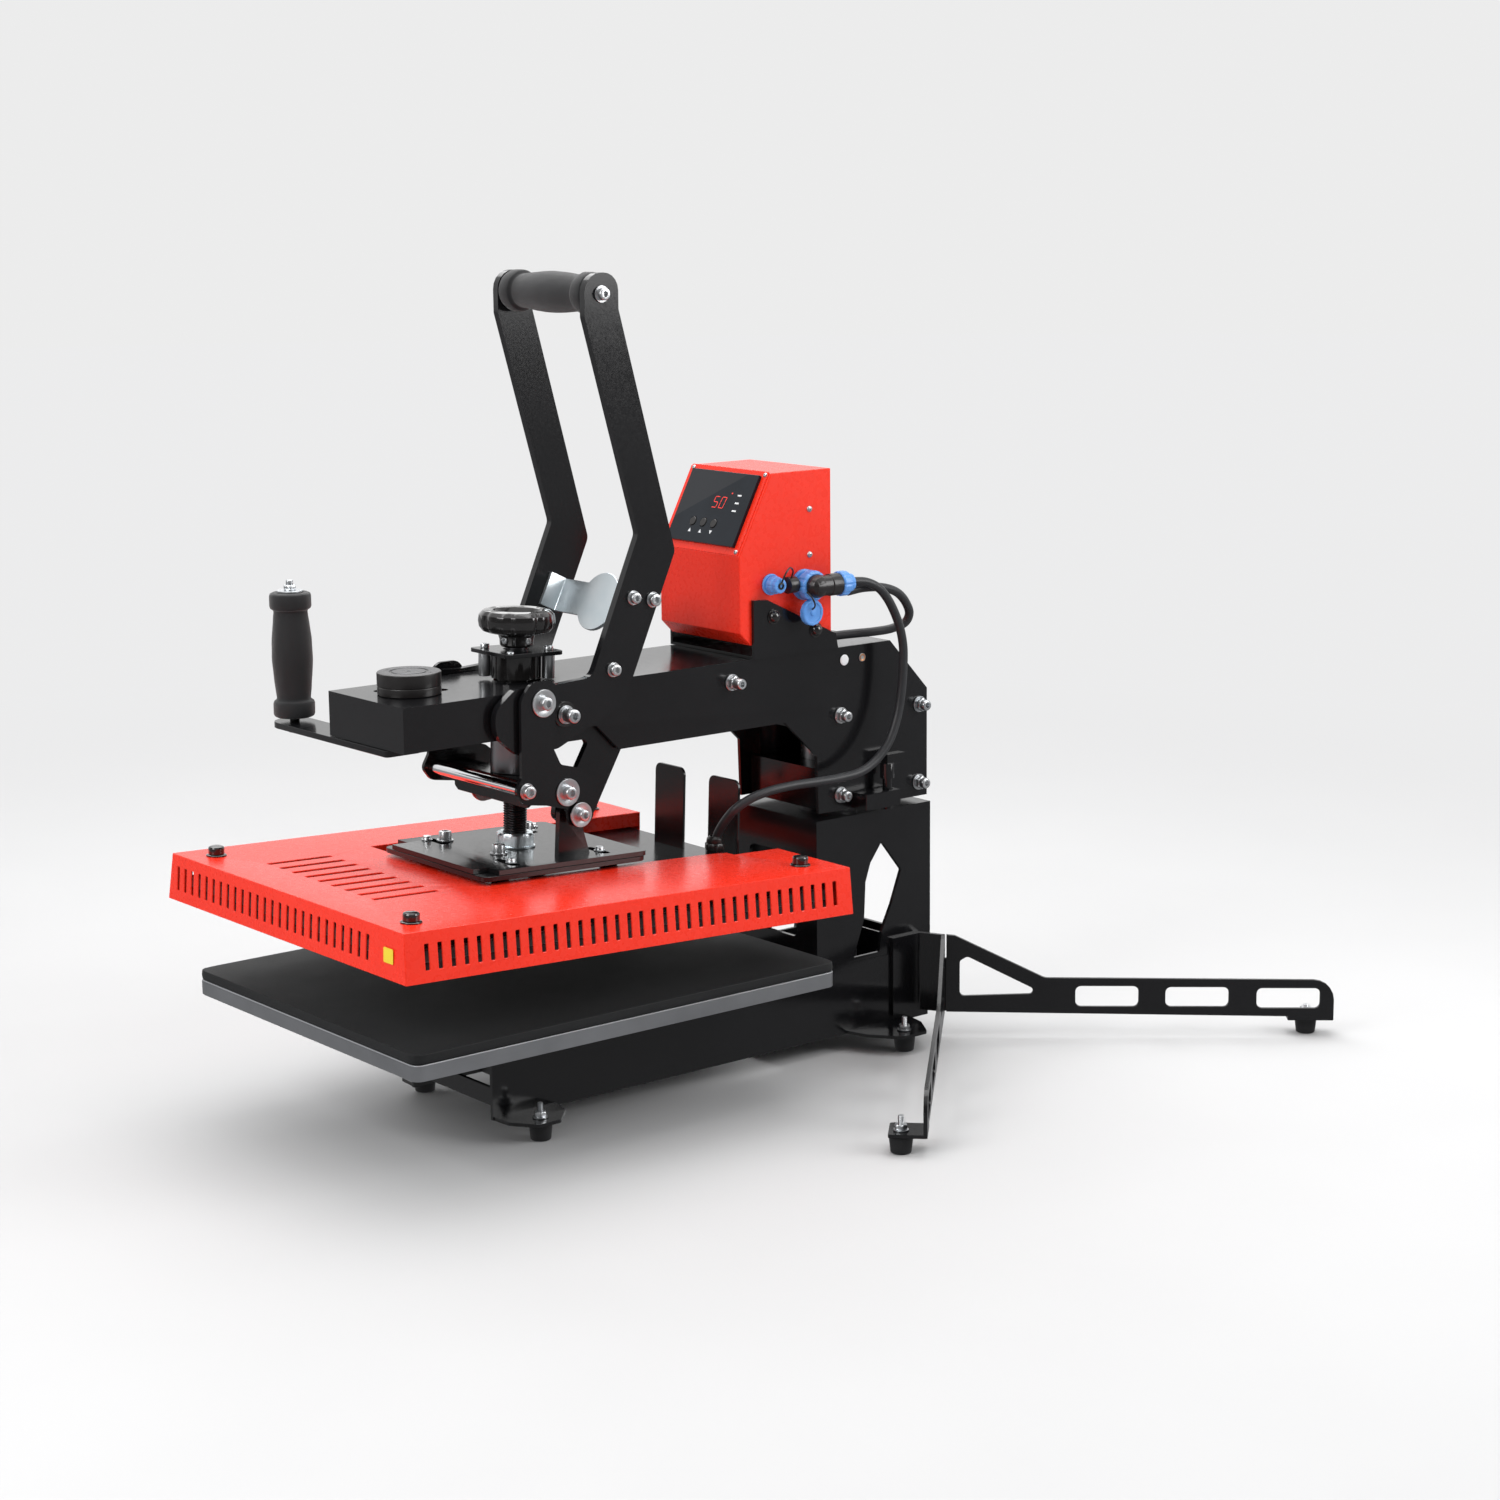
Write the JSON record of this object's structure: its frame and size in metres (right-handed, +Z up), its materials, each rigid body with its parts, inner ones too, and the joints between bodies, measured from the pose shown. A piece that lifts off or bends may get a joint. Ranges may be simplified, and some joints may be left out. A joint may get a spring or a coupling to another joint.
{
  "type": "swing-away flat heat press",
  "caption": "Swing-away flat heat press: slotted heated platen on a toggle handle over a padded lower platen, column base with outriggers and a sloping control box.",
  "frame": {"origin": "centre of the top face of the lower platen's pad", "axes": "+Z up, +Y from the operator's side back to the column, +X to the operator's right, the side the arm swings to"},
  "size_m": [0.6093, 1.091, 0.8342],
  "materials": {
    "black_steel": "fine-textured satin powder coat",
    "red_steel": "semi-gloss powder coat",
    "zinc": "bright zinc plate",
    "steel": "machined",
    "aluminium": "sawn and brushed",
    "rubber": "matte",
    "silicone": "matte silicone foam",
    "foam": "closed-cell grip foam",
    "black_cast": "glossy paint on a cast knob",
    "black_plastic": "glossy",
    "matte_plastic": "matte",
    "blue_plastic": "moulded",
    "board": "solder mask",
    "copper": "wound wire",
    "wool": "fibre blanket",
    "cable": "sheathed"
  },
  "bodies": {
    "base": {"base_frame": "black_steel", "column_housing": "black_steel", "swing_post": "steel", "foot_front_right": "rubber", "foot_front_left": "rubber", "foot_rear_right": "rubber", "foot_rear_left": "rubber", "platen_support": "black_steel", "lower_platen": "aluminium", "platen_pad": "silicone", "outrigger_rear": "black_steel", "outrigger_foot_rear": "rubber", "outrigger_front": "black_steel", "outrigger_foot_front": "rubber"},
    "swing_arm": {"arm_channel": "black_steel", "head_bearing": "black_steel", "head_bolt_upper_rear": "zinc", "head_bolt_lower_rear": "zinc", "arm_bolt_middle": "zinc", "holding_magnet": "matte_plastic", "control_housing": "red_steel", "control_cradle": "black_steel", "controller_board": "board", "power_transformer": "copper", "display_panel": "black_plastic", "connector_small": "blue_plastic", "connector_large": "blue_plastic", "cable_sensor": "cable", "cable_platen": "cable", "swing_grip_bracket": "black_steel", "swing_grip": "foam", "swing_lock_block": "black_steel", "handle_pivot_right": "zinc", "handle_pivot_left": "zinc", "guide_core": "black_steel", "flange_plate": "zinc"},
    "handle": {"handle_bar_right": "black_steel", "handle_bar_left": "black_steel", "handle_grip": "foam", "magnet_armature": "zinc"},
    "link": {"link_plate_right": "black_steel", "link_plate_left": "black_steel", "tie_rod": "zinc"},
    "ram": {"ram_tube": "steel", "cross_beam": "black_steel"},
    "carrier": {"carrier_legs": "black_steel"},
    "screw": {"pressure_screw": "steel"},
    "platen": {"pressure_plate_upper": "black_steel", "pressure_plate_lower": "black_steel", "platen_tray": "black_steel", "insulation_blanket": "wool", "heater_plate": "aluminium", "heating_element": "steel", "platen_cover": "red_steel"},
    "knob": {"pressure_knob": "black_cast"},
    "button_a": {"set_button_a": "black_plastic"},
    "button_b": {"set_button_b": "black_plastic"},
    "button_c": {"set_button_c": "black_plastic"},
    "switch": {"power_switch": "matte_plastic"},
    "lock_pin": {"swing_lock_pin": "black_steel"}
  },
  "joints": [
    {"name": "arm_swing", "type": "hinge", "parent": "base", "child": "swing_arm", "pos_m": [0, 0.411, 0.116], "axis": [0, 0, 1], "range_deg": [0, 105]},
    {"name": "handle_turn", "type": "hinge", "parent": "swing_arm", "child": "handle", "pos_m": [0, 0.0097, 0.2647], "axis": [1, 0, 0], "range_deg": [0, 116]},
    {"name": "link_turn", "type": "hinge", "parent": "handle", "child": "link", "pos_m": [0, -0.019, 0.2797], "axis": [1, 0, 0], "range_deg": [-134.5, 0.2]},
    {"name": "ram_slide", "type": "slide", "parent": "swing_arm", "child": "ram", "axis": [0, -0.0401, -0.9992], "range_m": [0, 0.0502]},
    {"name": "pressure_adjust", "type": "slide", "parent": "ram", "child": "carrier", "axis": [0, -0.0401, -0.9992], "range_m": [0, 0.006]},
    {"name": "screw_turn", "type": "hinge", "parent": "carrier", "child": "screw", "pos_m": [0, 0.001, 0.13], "axis": [0, -0.0401, -0.9992], "range_deg": [0, 864]},
    {"name": "platen_level", "type": "hinge", "parent": "carrier", "child": "platen", "pos_m": [0, 0.0205, 0.165], "axis": [1, 0, 0], "range_deg": [0, 2.3]},
    {"name": "knob_turn", "type": "hinge", "parent": "swing_arm", "child": "knob", "pos_m": [0, 0.001, 0.13], "axis": [0, -0.0401, -0.9992], "range_deg": [0, 864]},
    {"name": "press_button_a", "type": "slide", "parent": "swing_arm", "child": "button_a", "axis": [0, 0.8856, -0.4644], "range_m": [0, 0.0012]},
    {"name": "press_button_b", "type": "slide", "parent": "swing_arm", "child": "button_b", "axis": [0, 0.8856, -0.4644], "range_m": [0, 0.0012]},
    {"name": "press_button_c", "type": "slide", "parent": "swing_arm", "child": "button_c", "axis": [0, 0.8856, -0.4644], "range_m": [0, 0.0012]},
    {"name": "switch_rock", "type": "hinge", "parent": "swing_arm", "child": "switch", "pos_m": [0, 0.361, 0.339], "axis": [1, 0, 0], "range_deg": [0, 8]},
    {"name": "lock_lift", "type": "slide", "parent": "swing_arm", "child": "lock_pin", "axis": [0, 0, 1], "range_m": [0, 0.01]}
  ],
  "couplings": [
    {"joint": "link_turn", "follows": "handle_turn", "ratio": -1.1578},
    {"joint": "ram_slide", "follows": "handle_turn", "m_per_rad": 0.024696},
    {"joint": "platen_level", "follows": "handle_turn", "ratio": 0.019828},
    {"joint": "pressure_adjust", "follows": "knob_turn", "m_per_rad": 0.00039788},
    {"joint": "screw_turn", "follows": "knob_turn", "ratio": 1}
  ]
}
